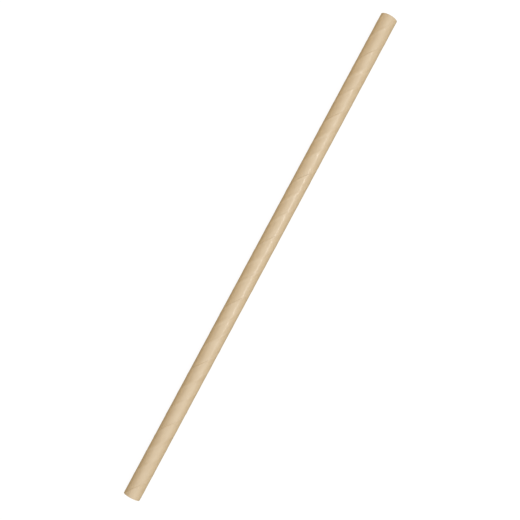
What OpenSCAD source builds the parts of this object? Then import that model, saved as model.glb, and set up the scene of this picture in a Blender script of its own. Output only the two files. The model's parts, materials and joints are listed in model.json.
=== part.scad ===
// Spirally wound paper drinking straw, lying on its side along X.
// Three plies of kraft tape are wound on a mandrel and glued into one tube, so the straw is one solid.
// Every seam is a right-handed helix that stands a little proud of the wall: the outer ply laps over
// itself, and the edges of the two plies below show through as softer ridges.

/* [Tube] */
// Length of the straw between its cut ends
straw_length = 197; // [60:1:220]
// Outside diameter of the wall between the seams
outer_d = 6.4; // [5:0.1:12]
// Thickness of the three plies together
wall_t = 0.4; // [0.3:0.05:0.8]

/* [Winding] */
// Advance of the tape along the straw in one turn
pitch = 25.3; // [22:0.1:40]
// Distance of the outer lap's free edge from the first end, along the top of the straw
lap_start = 4.5; // [0:0.1:20]
// Turn from the outer lap to the middle ply's seam, in degrees
middle_seam_turn = 135; // [90:1:170]
// Turn from the outer lap to the inner ply's seam, in degrees
inner_seam_turn = 253; // [225:1:270]

/* [Seams] */
// Width of the outer lap along the straw, from where it starts to rise to its free edge
lap_w = 1.8; // [1:0.1:3]
// Height of the outer lap above the wall
lap_rise = 0.05; // [0.02:0.01:0.1]
// Width of the free edge's step down to the wall
lap_edge_w = 0.12; // [0.05:0.01:0.3]
// Width of the ridge over the middle ply's seam
middle_seam_w = 3; // [1:0.1:4]
// Height of the ridge over the middle ply's seam
middle_seam_rise = 0.03; // [0.01:0.01:0.08]
// Width of the ridge over the inner ply's seam
inner_seam_w = 3.3; // [1:0.1:5]
// Height of the ridge over the inner ply's seam
inner_seam_rise = 0.03; // [0.01:0.01:0.08]

/* [Rest] */
// How far the outer lap is pressed in along the narrow strip underneath, on which the straw lies
rest_press = 0.075; // [0.03:0.005:0.1]

/* [Smoothness] */
// Straight rulings round the skin, an even number so that a flat between two of them faces down
rulings = 44; // [24:4:44]

/* [Hidden] */
outer_r = outer_d / 2;
bore_r = outer_r - wall_t;

// The straw lies on a strip where its seams are level with the wall, so it doesn't roll
highest_rise = max(lap_rise, middle_seam_rise, inner_seam_rise);
axis_height = outer_r + highest_rise - rest_press;

// A soft ridge with its crest over a seam, as pairs of place along the straw and height above the wall
function ridge(turned, width, rise) =
    let (seam = pitch * turned / 360)
    [
        [seam - width / 2, 0],
        [seam - width / 6, rise],
        [seam + width / 6, rise],
        [seam + width / 2, 0]
    ];

// The wall's profile over one turn, starting at the free edge of the outer lap
turn_profile = concat(
    [[0, lap_rise], [lap_edge_w, 0]],
    ridge(middle_seam_turn, middle_seam_w, middle_seam_rise),
    ridge(inner_seam_turn, inner_seam_w, inner_seam_rise),
    [[pitch - lap_w, 0], [pitch - lap_w / 3, lap_rise]]
);
marks = len(turn_profile);

// The winding is made a turn longer than the straw at the first end and two at the other, then cut
turns = ceil((straw_length - lap_start) / pitch) + 3;
first_station = lap_start - 2 * pitch;
last_row = marks * (turns - 1);

// Where a row of the winding crosses the top of the straw, and how far it lies from the axis
function station(row) = first_station + turn_profile[row % marks][0] + pitch * floor(row / marks);
function reach(row) = outer_r + turn_profile[row % marks][1];

// A point of the winding: it climbs by one pitch as it goes round the straw once, and stays above the
// surface that the straw lies on. The rulings lie half a step off the top and bottom
function wound_point(row, i) =
    let (turn = (i + 0.5) / rulings)
    [
        station(row) + pitch * turn,
        -reach(row) * sin(360 * turn),
        max(reach(row) * cos(360 * turn), -axis_height)
    ];

// Number of a point, where going past the last ruling continues on the first one, a turn further on
function at(row, i) = i < rulings ? row * rulings + i : (row + marks) * rulings + i - rulings;

// The edge of the winding at a row: once round, then back along the top
function rim(row) = concat(
    [for (i = [0:rulings - 1]) at(row, i)],
    [for (k = [marks:-1:1]) at(row + k, 0)]
);

// Solid winding of the tape, with its seams, longer than the straw
module winding() {
    skin = [
        for (row = [0:last_row + marks])
        for (i = [0:rulings - 1])
        wound_point(row, i)
    ];
    first_hub = len(skin);
    last_hub = first_hub + 1;
    hubs = [[station(0) + pitch / 2, 0, 0], [station(last_row) + pitch / 2, 0, 0]];
    sides = [
        for (row = [0:last_row - 1])
        for (i = [0:rulings - 1])
        each [
            [at(row, i), at(row + 1, i), at(row + 1, i + 1)],
            [at(row, i), at(row + 1, i + 1), at(row, i + 1)]
        ]
    ];
    first_rim = rim(0);
    last_rim = rim(last_row);
    rim_points = len(first_rim);
    caps = [
        for (k = [0:rim_points - 1])
        let (next = (k + 1) % rim_points)
        each [
            [first_hub, first_rim[k], first_rim[next]],
            [last_hub, last_rim[next], last_rim[k]]
        ]
    ];
    polyhedron(concat(skin, hubs), concat(sides, caps), convexity = 4);
}

// Block that takes away what is wound past an end of the straw
module past_the_end() {
    block = [4 * pitch, 2 * outer_d, 2 * outer_d];
    translate([block.x / 2, 0, 0]) cube(block, center = true);
}

// The straw: the winding, cut square at both ends, with the mandrel's bore through it
module straw_tube() {
    color("burlywood")
    translate([-straw_length / 2, 0, axis_height])
    difference() {
        winding();
        translate([-4 * pitch, 0, 0])
        rotate([0, 90, 0])
        cylinder(h = straw_length + 8 * pitch, r = bore_r, $fn = 96);
        mirror([1, 0, 0]) past_the_end();
        translate([straw_length, 0, 0]) past_the_end();
    }
}

straw_tube();
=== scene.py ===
"""A bare kraft paper drinking straw, spirally wound and cut square, lying on a white studio floor."""

import json
import math

import bpy
import bmesh
import numpy as np
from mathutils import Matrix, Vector


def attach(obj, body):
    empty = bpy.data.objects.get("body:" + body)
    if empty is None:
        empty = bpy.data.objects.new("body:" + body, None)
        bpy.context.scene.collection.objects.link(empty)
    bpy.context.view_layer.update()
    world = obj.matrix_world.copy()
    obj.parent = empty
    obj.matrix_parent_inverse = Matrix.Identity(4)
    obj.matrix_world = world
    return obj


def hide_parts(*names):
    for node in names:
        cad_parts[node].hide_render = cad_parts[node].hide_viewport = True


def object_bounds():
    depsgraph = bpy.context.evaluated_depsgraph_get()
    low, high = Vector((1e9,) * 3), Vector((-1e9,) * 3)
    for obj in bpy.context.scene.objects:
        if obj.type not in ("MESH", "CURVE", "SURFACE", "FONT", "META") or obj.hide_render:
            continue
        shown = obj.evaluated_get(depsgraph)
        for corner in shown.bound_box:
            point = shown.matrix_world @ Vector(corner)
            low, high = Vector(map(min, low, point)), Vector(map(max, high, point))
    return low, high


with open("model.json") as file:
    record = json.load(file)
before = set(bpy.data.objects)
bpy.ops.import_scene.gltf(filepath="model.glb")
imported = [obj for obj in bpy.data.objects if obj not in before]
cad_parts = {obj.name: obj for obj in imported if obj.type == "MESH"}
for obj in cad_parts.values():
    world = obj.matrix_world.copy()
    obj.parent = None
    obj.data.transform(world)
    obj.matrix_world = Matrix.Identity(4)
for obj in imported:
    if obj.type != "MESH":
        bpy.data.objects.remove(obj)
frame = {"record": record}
cad_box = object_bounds()

bl_info = {
    "name": "Wound Paper Straw",
    "version": (1, 0, 0),
    "blender": (4, 5, 0),
    "location": "3D View > Sidebar > Straw",
    "description": "Builds a spirally wound kraft paper straw and a white studio round it",
    "category": "Add Mesh",
}

MM = 0.001
TURN = 2 * math.pi
WHITE = (1, 1, 1, 1)

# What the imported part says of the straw, in metres
mounts = {mount["name"]: mount for mount in frame["record"]["mounts"]}
FIRST_END = cad_box[0].x
LAST_END = cad_box[1].x
AXIS_Z = mounts["bore"]["pos_m"][2]
BORE_R = mounts["bore"]["dims"]["r_mm"] * MM
SEAM_R = mounts["outside"]["dims"]["r_mm"] * MM
STRAW = "straw_tube"

# The straw's mesh: cells round it, how near to each other corners are joined, and the angle between
# faces past which an edge is drawn sharp
COLUMNS = 96
JOIN_WITHIN = 0.0001 * MM
SHARP_ANGLE = math.radians(38)


def linear(hex_colour):
    """The linear colour of an sRGB hex value: each part is divided by 12.92 up to 0.04045, and past that
    it is ((part + 0.055) / 1.055) to the power 2.4."""
    parts = [int(hex_colour[i : i + 2], 16) / 255 for i in (0, 2, 4)]
    return tuple(p / 12.92 if p <= 0.04045 else ((p + 0.055) / 1.055) ** 2.4 for p in parts)


def length(name, default_mm, text):
    """A property that holds a length, given in millimetres."""
    return bpy.props.FloatProperty(
        name=name, description=text, default=default_mm * MM, min=0, unit="LENGTH", precision=5
    )


def angle(name, default_deg, text):
    """A property that holds an angle, given in degrees."""
    return bpy.props.FloatProperty(
        name=name, description=text, default=math.radians(default_deg), subtype="ANGLE"
    )


def number(name, default, text):
    """A property that holds a plain number."""
    return bpy.props.FloatProperty(name=name, description=text, default=default, min=0)


def colour(name, hex_colour, text):
    """A property that holds a colour, given as an sRGB hex value."""
    return bpy.props.FloatVectorProperty(
        name=name, description=text, default=linear(hex_colour), subtype="COLOR", min=0, max=1
    )


class StrawWinding(bpy.types.PropertyGroup):
    """Sizes of the wound tape and of the seams that stand proud of the wall."""

    pitch: length("Pitch", 25.3, "Advance of the tape along the straw in one turn")
    lap_start: length("Lap start", 4.5, "From the first end to the outer lap's free edge, along the top")
    lap_width: length("Lap width", 1.2, "From where the outer lap starts to rise to its free edge")
    lap_rise: length("Lap rise", 0.05, "Height of the outer lap above the wall")
    lap_edge: length("Lap edge", 0.25, "Width of the free edge's step down")
    middle_turn: angle("Middle seam", 135, "Turn from the outer lap to the middle ply's seam")
    middle_width: length("Middle seam width", 2.4, "Width of the ridge over the middle ply's seam")
    middle_rise: length("Middle seam rise", 0.03, "Height of the ridge over the middle ply's seam")
    inner_turn: angle("Inner seam", 253, "Turn from the outer lap to the inner ply's seam")
    inner_width: length("Inner seam width", 3.0, "Width of the ridge over the inner ply's seam")
    inner_rise: length("Inner seam rise", 0.03, "Height of the ridge over the inner ply's seam")
    outer_ply: length("Outer ply", 0.09, "Thickness of the thin outer ply")
    inner_ply: length("Inner ply", 0.155, "Thickness of the innermost ply")
    gap_width: length("Bore seam width", 0.5, "Width of the groove where the innermost ply's edges meet")
    gap_depth: length("Bore seam depth", 0.03, "Depth of the groove where the innermost ply's edges meet")
    cut_round: length("Cut rounding", 0.03, "Rounding that the cutting blade leaves on both rims")
    joint_width: length("Ply joint width", 0.03, "Width of the groove between two plies on a cut end")
    joint_depth: length("Ply joint depth", 0.02, "Depth of the groove between two plies on a cut end")
    waviness: length("Waviness", 0.004, "Height of the slow waves that the glue leaves in the wall")


class StrawPaper(bpy.types.PropertyGroup):
    """Colours and finish of the paper."""

    kraft: colour("Kraft", "C6B293", "Unbleached kraft paper, as it is seen in plain light")
    fleck: colour("Fleck", "B3925F", "Darker fibres and flecks in the paper")
    pale: colour("Pale fibre", "DCC7A6", "Paler fibres on the surface")
    cut: colour("Cut edge", "BFA074", "The plies seen on their cut edges")
    mottle: number("Mottle", 0.25, "Share of the darker and paler fibres in the colour")
    fibre_height: length("Fibre height", 0.005, "Height of the fibres and of the cloudy patches")
    roughness: number("Roughness", 0.5, "Roughness of the calendered surface")
    gloss: number("Gloss", 0.35, "Strength of the sheen that the rollers press into the surface")
    gloss_roughness: number("Gloss roughness", 0.18, "Roughness of that sheen")


class StrawStage(bpy.types.PropertyGroup):
    """Camera, floor and the even light of the room."""

    camera_height: length("Camera height", 341.8, "From the straw's axis up to the camera")
    camera_along: length("Camera along", 77.4, "From the straw's first end to the point below the camera")
    camera_aside: length("Camera aside", 11.2, "From the straw's axis sideways to the point below the camera")
    camera_roll: angle("Camera roll", -61.746, "Turn of the camera about the vertical")
    lens: number("Lens", 65.27, "Focal length in millimetres")
    sensor: number("Sensor", 36, "Width of the camera's sensor in millimetres")
    shift: number("Shift", 0.1213, "Vertical shift of the view, as a share of its width")
    floor_size: length("Floor size", 6000, "Side of the white floor")
    floor_gap: length("Floor gap", 0.02, "How far the floor lies below the straw, so that they stay apart")
    floor_glow: number("Floor glow", 0.92, "Even light of the floor as the camera sees it, where 1 is white")
    floor_seen: colour("Floor seen", "616161", "Matt colour of the floor under that glow, for the shadow")
    floor_bounce: colour("Floor bounce", "AD9E76", "Colour of the floor in the light that it throws back")
    ambient: number("Ambient", 0.24, "Strength of the even light from all round")


def smooth_step(low, high, x):
    """0 below low, 1 above high, and between them 3 u squared less 2 u cubed of the share u."""
    u = np.clip((x - low) / (high - low), 0, 1)
    return u * u * (3 - 2 * u)


def ridge(place, seam, width, rise):
    """Height of a soft ridge: full within a sixth of its width of the seam, and a smooth step down to
    nothing at half its width."""
    return rise * (1 - smooth_step(width / 6, width / 2, np.abs(place - seam)))


def seam_places(w):
    """Places of the middle ply's seam and of the inner ply's seam in one turn of the tape, measured along
    the straw from the outer lap's free edge: the pitch times the share of the turn."""
    return w.pitch * w.middle_turn / TURN, w.pitch * w.inner_turn / TURN


def steepness(w):
    """How far the winding climbs along the straw for each step round it."""
    return w.pitch / (TURN * SEAM_R)


def seam_relief(w, place):
    """Height of the seams above the wall at a place in one turn, measured along the straw from the outer
    lap's free edge: the two soft ridges, and the lap, which rises smoothly over two thirds of its width,
    is flat over the last third and ends in a step down past its free edge."""
    middle, inner = seam_places(w)
    lap = smooth_step(w.pitch - w.lap_width, w.pitch - w.lap_width / 3, place)
    step = 1 - smooth_step(0, w.lap_edge, place)
    return (
        w.lap_rise * np.maximum(lap, step)
        + ridge(place, middle, w.middle_width, w.middle_rise)
        + ridge(place, inner, w.inner_width, w.inner_rise)
    )


def bore_relief(w, place):
    """Depth of the groove in the bore's wall over the inner ply's seam: a soft ridge, turned outwards."""
    _, inner = seam_places(w)
    return ridge(place, inner, w.gap_width, w.gap_depth)


def waves(along, turned):
    """A slow, even unevenness between -1 and 1: the mean of four sines of the place along the straw, each
    with its own whole number of turns round it, so that it closes."""
    # Each sine's length in millimetres, its turns round the straw, and its start
    mix = [(8.3, 1, 0.4), (12.1, -2, 1.9), (17.6, 3, 4.1), (31, -1, 5.2)]
    sines = [np.sin(TURN * along / (size * MM) + times * turned + start) for size, times, start in mix]
    return sum(sines) / len(mix)


def places_in_turn(w, plain_step, seams):
    """Places across one turn of the tape, from 0 to the pitch: evenly spaced, and closer over each seam,
    given as (middle, width, step)."""
    parts = [np.linspace(0, w.pitch, math.ceil(w.pitch / plain_step) + 1)]
    for middle, width, step in seams:
        parts.append(np.linspace(middle - width / 2, middle + width / 2, math.ceil(width / step) + 1))
    places = np.clip(np.concatenate(parts), 0, w.pitch)
    # To a billionth of a metre, so that places that meet count as one
    return np.unique(np.round(places, 9))


def round_the_axis(along, r, turned):
    """Points at a distance r from the axis, where the angle is 0 on top and grows towards -Y. None is
    lower than the surface that the straw lies on, which presses its seams flat underneath."""
    height = np.maximum(AXIS_Z + r * np.cos(turned), 0)
    return np.stack([along, -r * np.sin(turned), height], axis=-1)


def helical_patch(w, places, ends, radius):
    """A wall of the tube as a grid whose rows follow the winding. At the place p across turn k and the
    angle a about the axis, a point lies p + pitch (k + a / 360 degrees) along the straw from the lap's
    start, held between the two ends, at the radius given for its place and angle. Returns the points
    and their coordinates on the tape, along it and across it in millimetres."""
    first, last = ends
    start = FIRST_END + w.lap_start
    first_turn = math.floor((first - start) / w.pitch) - 1
    turns = np.arange(first_turn, math.ceil((last - start) / w.pitch) + 1)
    turn, place = (grid.ravel()[:, None] for grid in np.meshgrid(turns, places, indexing="ij"))
    turned = np.linspace(0, TURN, COLUMNS + 1)[None, :]
    free = start + place + w.pitch * (turn + turned / TURN)
    along = np.clip(free, first, last)
    place = place + along - free
    r = radius(np.mod(place, w.pitch), along, turned)
    points = round_the_axis(along, r, turned)
    slant = math.hypot(1, steepness(w))
    across = place / slant
    down_tape = (turned + TURN * turn) * SEAM_R * slant + across * steepness(w)
    return points, np.stack([down_tape, across], axis=-1) / MM


def ring_patch(rings):
    """A band round the straw through a list of rings, each a place along it and a radius for each column.
    A point at the angle a lies that far along, at that radius. Its coordinates on the patch are the arc
    and the radius in millimetres."""
    turned = np.broadcast_to(np.linspace(0, TURN, COLUMNS + 1), (len(rings), COLUMNS + 1))
    along = np.stack([np.broadcast_to(place, COLUMNS + 1) for place, _ in rings])
    r = np.stack([np.broadcast_to(radius, COLUMNS + 1) for _, radius in rings])
    points = round_the_axis(along, r, turned)
    return points, np.stack([SEAM_R * turned, r], axis=-1) / MM


def cut_end_rings(w, end, inward, outer_r, bore_r):
    """Rings over a cut end of the straw, from its outside to its bore: the blade's rounding, the flat face
    with a fine V groove where the outer ply meets the middle one and another where the middle ply meets
    the inner one, and the rounding at the bore. inward is 1 or -1, the way into the straw."""
    near = end + inward * w.cut_round
    rings = [(near, outer_r), (end, outer_r - w.cut_round)]
    for joint in (outer_r - w.outer_ply, bore_r + w.inner_ply):
        rings.append((end, joint + w.joint_width / 2))
        rings.append((end + inward * w.joint_depth, joint))
        rings.append((end, joint - w.joint_width / 2))
    return rings + [(end, bore_r + w.cut_round), (near, bore_r)]


def mesh_from_patches(name, patches):
    """One closed mesh from patches given as ((points, tape coordinates), material index, flipped). Each
    grid cell becomes a face, shared edges are joined, and cells pressed flat at the ends drop out."""
    corners, coords, uvs, indices = [], [], [], []
    offset = 0
    for (points, uv), index, flipped in patches:
        rows, columns = points.shape[:2]
        number_of = offset + np.arange(rows * columns).reshape(rows, columns)
        quads = [number_of[:-1, :-1], number_of[1:, :-1], number_of[1:, 1:], number_of[:-1, 1:]]
        quads = np.stack(quads if flipped else quads[::-1], axis=-1).reshape(-1, 4)
        corners.append(quads)
        coords.append(points.reshape(-1, 3))
        uvs.append(uv.reshape(-1, 2))
        indices.append(np.full(len(quads), index))
        offset += rows * columns
    corners, coords, uvs = np.concatenate(corners), np.concatenate(coords), np.concatenate(uvs)
    mesh = bpy.data.meshes.new(name)
    mesh.from_pydata(coords, [], corners)
    mesh.polygons.foreach_set("material_index", np.concatenate(indices))
    layer = mesh.uv_layers.new(name="tape")
    layer.data.foreach_set("uv", uvs[corners.ravel()].astype(np.float32).ravel())
    work = bmesh.new()
    work.from_mesh(mesh)
    bmesh.ops.remove_doubles(work, verts=work.verts, dist=JOIN_WITHIN)
    work.to_mesh(mesh)
    work.free()
    return mesh


def add_node(tree, kind, inputs=None, **settings):
    """Adds a node, sets its properties, and gives each named input a value or a link from an output."""
    made = tree.nodes.new(kind)
    for name, value in settings.items():
        setattr(made, name, value)
    for name, value in (inputs or {}).items():
        if isinstance(value, bpy.types.NodeSocket):
            tree.links.new(value, made.inputs[name])
        else:
            made.inputs[name].default_value = value
    return made


def new_material(name):
    """An empty node material, with its output."""
    material = bpy.data.materials.new(name)
    material.use_nodes = True
    tree = material.node_tree
    tree.nodes.clear()
    return material, tree, tree.nodes.new("ShaderNodeOutputMaterial")


def noise(tree, tape, along, across, detail=2.0):
    """Noise on the tape between 0 and 1, with lumps of a given size in millimetres along and across it."""
    place = add_node(tree, "ShaderNodeMapping", {"Vector": tape, "Scale": (1 / along, 1 / across, 1)})
    lumps = {"Vector": place.outputs[0], "Scale": 1, "Detail": detail}
    return add_node(tree, "ShaderNodeTexNoise", lumps).outputs["Fac"]


def smooth_rise(tree, value, low, high, rise, rest):
    """The rest, plus a smooth step of a value from nothing at low to the rise at high."""
    ends = {"Value": value, "From Min": low, "From Max": high, "To Max": rise}
    step = add_node(tree, "ShaderNodeMapRange", ends, interpolation_type="SMOOTHSTEP")
    return add_node(tree, "ShaderNodeMath", {0: step.outputs[0], 1: rest}, operation="ADD").outputs[0]


def place_across(tree, tape, w):
    """Place in one turn of the tape in millimetres along the straw, from 0.4 of a turn before the outer
    lap's free edge to 0.6 of a turn after it. It is the distance across the tape, stretched as the tape
    slants, and wrapped to that range."""
    pitch, before = w.pitch / MM, 0.4
    across = add_node(tree, "ShaderNodeSeparateXYZ", {0: tape}).outputs["Y"]
    slanted = {0: across, 1: math.hypot(1, steepness(w))}
    stretched = add_node(tree, "ShaderNodeMath", slanted, operation="MULTIPLY").outputs[0]
    wrapped = {0: stretched, 1: (1 - before) * pitch, 2: -before * pitch}
    return add_node(tree, "ShaderNodeMath", wrapped, operation="WRAP").outputs[0]


def seam_swells(tree, place, w):
    """Height in millimetres of the swells that the glued seams leave in the paper, as smooth steps from
    one place to another: up to the outer lap's free edge and sharply down past it, up to the crest over
    each of the other two seams and more gently down."""
    # Each seam's place in millimetres as place_across counts it, with the inner one a turn before
    middle, inner = (seam / MM for seam in seam_places(w))
    lap, inner = 0, inner - w.pitch / MM
    # Where each step starts, where it ends and how far it rises, with all the rises adding up to nothing
    steps = [
        (inner - 1.6, inner - 0.2, 0.077),
        (inner, inner + 2.5, -0.065),
        (inner + 1.2, inner + 6.2, 0.007),
        (lap - 1.1, lap + 0.1, 0.015),
        (lap - 0.1, lap + 0.5, -0.04),
        (lap, lap + 5, -0.024),
        (middle - 1.9, middle + 2.1, 0.135),
        (middle, middle + 1.4, -0.085),
        (middle + 0.7, middle + 5.6, -0.02),
    ]
    swell = 0.0
    for start, end, rise in steps:
        swell = smooth_rise(tree, place, start, end, rise, swell)
    return swell


def kraft_paper(name, paper, w, base):
    """Unbleached kraft paper, made from long softwood fibres laid down along the web and pressed smooth
    between rollers. That gives a matt sandy brown with a fine relief along the tape, slow cloudy
    patches where the fibres lie thicker, and a soft gloss that the relief breaks up."""
    material, tree, output = new_material(name)
    tape = add_node(tree, "ShaderNodeUVMap", uv_map="tape").outputs["UV"]
    # Softwood fibres are 0.03 mm thick and some 3 mm long, too fine to show, so bundles of them are drawn
    fibres = noise(tree, tape, along=1.6, across=0.35, detail=3)
    # Patches where the fibres lie thicker are a few millimetres across, in the colour and in the surface
    clouds = noise(tree, tape, along=7, across=3)
    lumps = noise(tree, tape, along=7, across=2.4)
    tones = {"Fac": clouds, "Color1": (*paper.fleck, 1), "Color2": (*paper.pale, 1)}
    toned = add_node(tree, "ShaderNodeMixRGB", tones).outputs[0]
    shares = {"Fac": paper.mottle, "Color1": (*base, 1), "Color2": toned}
    blended = add_node(tree, "ShaderNodeMixRGB", shares).outputs[0]
    relief = seam_swells(tree, place_across(tree, tape, w), w)
    for grain in (fibres, lumps):
        raised = {0: grain, 1: paper.fibre_height / MM, 2: relief}
        relief = add_node(tree, "ShaderNodeMath", raised, operation="MULTIPLY_ADD").outputs[0]
    bump = add_node(tree, "ShaderNodeBump", {"Height": relief, "Strength": 1, "Distance": MM}).outputs[0]
    finish = {
        "Base Color": blended,
        "Roughness": paper.roughness,
        "Coat Weight": paper.gloss,
        "Coat Roughness": paper.gloss_roughness,
        "Normal": bump,
        "Coat Normal": bump,
    }
    shader = add_node(tree, "ShaderNodeBsdfPrincipled", finish)
    tree.links.new(shader.outputs[0], output.inputs["Surface"])
    return material


class STRAW_OT_build_tube(bpy.types.Operator):
    """Build the paper tube: its wound outside, its bore and its two cut ends"""

    bl_idname = "straw.build_tube"
    bl_label = "Build the Paper Tube"

    def execute(self, context):
        w, paper = context.scene.straw_winding, context.scene.straw_paper
        wall_r = SEAM_R - w.lap_rise
        middle, inner = seam_places(w)
        # Middle and width of each seam's profile, and the step of the mesh over it
        outer_seams = [
            (w.pitch - w.lap_width / 2, w.lap_width, 0.2 * MM),
            (w.lap_edge / 2, w.lap_edge, 0.03 * MM),
            (middle, w.middle_width, 0.3 * MM),
            (inner, w.inner_width, 0.4 * MM),
        ]
        bore_seams = [(inner, w.gap_width, 0.1 * MM)]

        def outer_radius(place, along, turned):
            return wall_r + seam_relief(w, place) + w.waviness * (waves(along, turned) - 1)

        def bore_radius(place, along, turned):
            return BORE_R + bore_relief(w, place)

        ends = (FIRST_END + w.cut_round, LAST_END - w.cut_round)
        outer_places = places_in_turn(w, plain_step=0.9 * MM, seams=outer_seams)
        bore_places = places_in_turn(w, plain_step=2 * MM, seams=bore_seams)
        outside, inside, cut = range(3)
        patches = [
            (helical_patch(w, outer_places, ends, outer_radius), outside, False),
            (helical_patch(w, bore_places, ends, bore_radius), inside, True),
        ]
        turned = np.linspace(0, TURN, COLUMNS + 1)
        for end, inward, flipped in ((FIRST_END, 1, True), (LAST_END, -1, False)):
            # The rings start where the two walls stop, at the radii that the walls have there
            near = end + inward * w.cut_round
            place = np.mod(near - FIRST_END - w.lap_start - w.pitch * turned / TURN, w.pitch)
            radii = outer_radius(place, near, turned), bore_radius(place, near, turned)
            rings = cut_end_rings(w, end, inward, *radii)
            patches.append((ring_patch(rings), cut, flipped))
        mesh = mesh_from_patches("paper_straw", patches)
        # In the order of the three material indices above
        mesh.materials.append(kraft_paper("calendered_kraft_paper", paper, w, paper.kraft))
        mesh.materials.append(kraft_paper("inner_kraft_ply", paper, w, paper.kraft))
        mesh.materials.append(kraft_paper("cut_kraft_edge", paper, w, paper.cut))
        mesh.shade_smooth()
        mesh.set_sharp_from_angle(angle=SHARP_ANGLE)
        straw = bpy.data.objects.new("paper_straw", mesh)
        context.scene.collection.objects.link(straw)
        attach(straw, "root")
        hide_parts(STRAW)
        return {"FINISHED"}


def area_lamp(name, distance, degrees, along, faces, sides, power, hex_colour="FFFFFF"):
    """A soft rectangular lamp at a distance from the straw's axis, turned from straight up towards -Y by
    an angle and moved along the straw. It faces a place along the axis. Lengths are in metres and the
    power is in watts."""
    data = bpy.data.lights.new(name, "AREA")
    data.shape = "RECTANGLE"
    data.size, data.size_y = sides
    data.energy = power
    data.color = linear(hex_colour)
    lamp = bpy.data.objects.new(name, data)
    bpy.context.scene.collection.objects.link(lamp)
    turned = math.radians(degrees)
    lamp.location = (along, -distance * math.sin(turned), AXIS_Z + distance * math.cos(turned))
    away = lamp.location - Vector((faces, 0, AXIS_Z))
    lamp.rotation_euler = away.to_track_quat("Z", "Y").to_euler()


def white_floor(stage):
    """A plain white sweep. The camera sees it lit to white apart from the object's shadow, as a dark matt
    surface with an even glow. Other light meets a dim, warm matt surface, so that little comes back and
    the straw keeps its warm shaded sides."""
    material, tree, output = new_material("white_sweep")
    seen = add_node(tree, "ShaderNodeLightPath").outputs["Is Camera Ray"]
    matt = add_node(tree, "ShaderNodeBsdfDiffuse", {"Color": (*stage.floor_bounce, 1)})
    dark = add_node(tree, "ShaderNodeBsdfDiffuse", {"Color": (*stage.floor_seen, 1)})
    glow = add_node(tree, "ShaderNodeEmission", {"Color": WHITE, "Strength": stage.floor_glow})
    both = add_node(tree, "ShaderNodeAddShader", {0: dark.outputs[0], 1: glow.outputs[0]})
    mixed = add_node(tree, "ShaderNodeMixShader", {0: seen, 1: matt.outputs[0], 2: both.outputs[0]})
    tree.links.new(mixed.outputs[0], output.inputs["Surface"])
    half, low = stage.floor_size / 2, -stage.floor_gap
    corners = [(-half, -half, low), (half, -half, low), (half, half, low), (-half, half, low)]
    mesh = bpy.data.meshes.new("floor")
    mesh.from_pydata(corners, [], [(0, 1, 2, 3)])
    mesh.materials.append(material)
    floor = bpy.data.objects.new("floor", mesh)
    bpy.context.scene.collection.objects.link(floor)


def studio_world(stage):
    """White where the camera looks past the floor, and a dim even light for everything else."""
    world = bpy.data.worlds.new("studio")
    world.use_nodes = True
    tree = world.node_tree
    tree.nodes.clear()
    seen = add_node(tree, "ShaderNodeLightPath").outputs["Is Camera Ray"]
    room = add_node(tree, "ShaderNodeBackground", {"Color": WHITE, "Strength": stage.ambient})
    backdrop = add_node(tree, "ShaderNodeBackground", {"Color": WHITE, "Strength": 1})
    mixed = add_node(tree, "ShaderNodeMixShader", {0: seen, 1: room.outputs[0], 2: backdrop.outputs[0]})
    output = tree.nodes.new("ShaderNodeOutputWorld")
    tree.links.new(mixed.outputs[0], output.inputs["Surface"])
    bpy.context.scene.world = world


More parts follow.
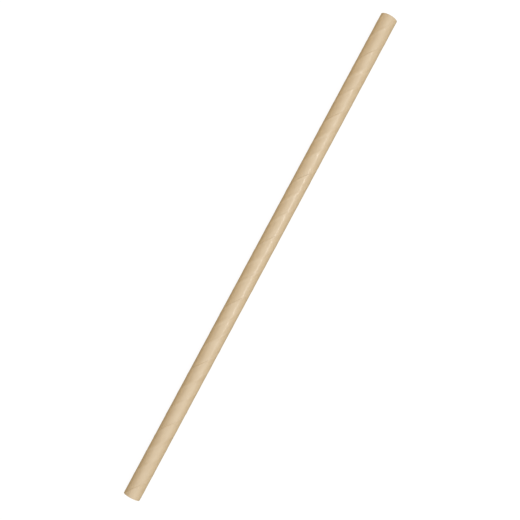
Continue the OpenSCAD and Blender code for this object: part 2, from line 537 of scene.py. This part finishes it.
class STRAW_OT_build_stage(bpy.types.Operator):
    """Build the white floor, the soft lamps and the camera above the straw"""

    bl_idname = "straw.build_stage"
    bl_label = "Build the Stage"

    def execute(self, context):
        stage = context.scene.straw_stage
        white_floor(stage)
        studio_world(stage)
        # A wide scrim overhead, a narrow strip whose reflection is the streak along the straw, and a weak
        # fill low down on each side, the left one warm and off towards the upper end
        wide, strip, fill = (6, 5.6), (0.24, 0.035), (1.2, 0.4)
        area_lamp("scrim", distance=3, degrees=14.5, along=-0.53, faces=0, sides=wide, power=142)
        area_lamp("streak", distance=0.5, degrees=35, along=0.069, faces=0, sides=strip, power=0.62)
        area_lamp(
            "left_fill",
            distance=0.8,
            degrees=-80,
            along=0.4,
            faces=0.4,
            sides=fill,
            power=2.19,
            hex_colour="FFD68A",
        )
        area_lamp("right_fill", distance=0.8, degrees=80, along=0, faces=0, sides=fill, power=0.52)
        data = bpy.data.cameras.new("camera")
        data.lens = stage.lens
        data.sensor_width = stage.sensor
        data.shift_y = stage.shift
        camera = bpy.data.objects.new("camera", data)
        context.scene.collection.objects.link(camera)
        camera.location = (
            FIRST_END + stage.camera_along,
            -stage.camera_aside,
            AXIS_Z + stage.camera_height,
        )
        camera.rotation_euler = (0, 0, stage.camera_roll)
        context.scene.camera = camera
        context.scene.view_settings.view_transform = "Standard"
        return {"FINISHED"}


class STRAW_PT_panel(bpy.types.Panel):
    """Lists the straw's sizes, colours and stage, with the buttons that build them"""

    bl_label = "Wound Paper Straw"
    bl_idname = "STRAW_PT_panel"
    bl_space_type = "VIEW_3D"
    bl_region_type = "UI"
    bl_category = "Straw"

    def draw(self, context):
        for group, operator in (
            ("straw_winding", None),
            ("straw_paper", STRAW_OT_build_tube.bl_idname),
            ("straw_stage", STRAW_OT_build_stage.bl_idname),
        ):
            box = self.layout.box()
            settings = getattr(context.scene, group)
            for name in settings.__annotations__:
                box.prop(settings, name)
            if operator:
                box.operator(operator)


CLASSES = (
    StrawWinding,
    StrawPaper,
    StrawStage,
    STRAW_OT_build_tube,
    STRAW_OT_build_stage,
    STRAW_PT_panel,
)


def register():
    for cls in CLASSES:
        bpy.utils.register_class(cls)
    bpy.types.Scene.straw_winding = bpy.props.PointerProperty(type=StrawWinding)
    bpy.types.Scene.straw_paper = bpy.props.PointerProperty(type=StrawPaper)
    bpy.types.Scene.straw_stage = bpy.props.PointerProperty(type=StrawStage)


def unregister():
    del bpy.types.Scene.straw_stage
    del bpy.types.Scene.straw_paper
    del bpy.types.Scene.straw_winding
    for cls in reversed(CLASSES):
        bpy.utils.unregister_class(cls)


def main():
    register()
    bpy.ops.straw.build_tube()
    bpy.ops.straw.build_stage()


if __name__ == "__main__":
    main()
